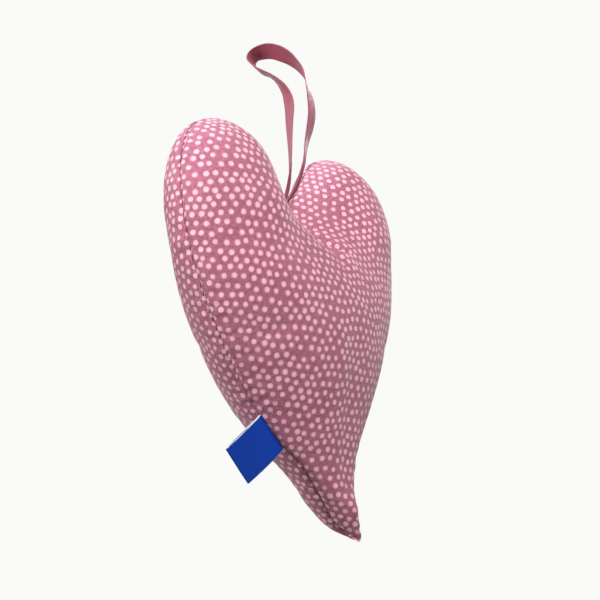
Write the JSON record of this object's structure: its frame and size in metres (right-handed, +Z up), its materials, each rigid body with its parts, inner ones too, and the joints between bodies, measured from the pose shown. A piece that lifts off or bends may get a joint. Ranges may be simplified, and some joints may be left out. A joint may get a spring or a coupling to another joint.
{
  "type": "lavender sachet",
  "caption": "Heart-shaped stuffed cotton sachet with a satin ribbon loop in its cleft and a folded woven label in its side seam.",
  "frame": {"origin": "the seat under the top of the ribbon loop, where a hook carries the sachet", "axes": "+Z up, from the tip of the heart to the loop; +X across the heart, to its right lobe as its front is seen; +Y from the front panel to the back panel"},
  "size_m": [0.1134, 0.0498, 0.1747],
  "materials": {
    "cotton": "matt plain weave, mauve with small pale pink dots",
    "lavender": "dried buds",
    "thread": "matt sewing thread",
    "satin": "satin weave",
    "label": "woven tape"
  },
  "bodies": {
    "sachet": {"front_panel": "cotton", "back_panel": "cotton", "lavender_filling": "lavender", "needle_thread": "thread", "bobbin_thread": "thread", "closing_thread": "thread", "ribbon_tails": "satin", "label_tails": "label"},
    "loop": {"ribbon_loop": "satin"},
    "label": {"label_flap": "label"}
  },
  "joints": [
    {"name": "ribbon_swing", "type": "hinge", "parent": "sachet", "child": "loop", "pos_m": [0, 0.0012, -0.05416], "axis": [1, 0, 0], "range_deg": [-65, 50], "stiffness_Nm_per_rad": 0.001},
    {"name": "label_bend", "type": "hinge", "parent": "sachet", "child": "label", "pos_m": [-0.02331, -0.00018, -0.1341], "axis": [0.6192, -0.1047, -0.7782], "range_deg": [-95, 50], "stiffness_Nm_per_rad": 0.0001}
  ]
}
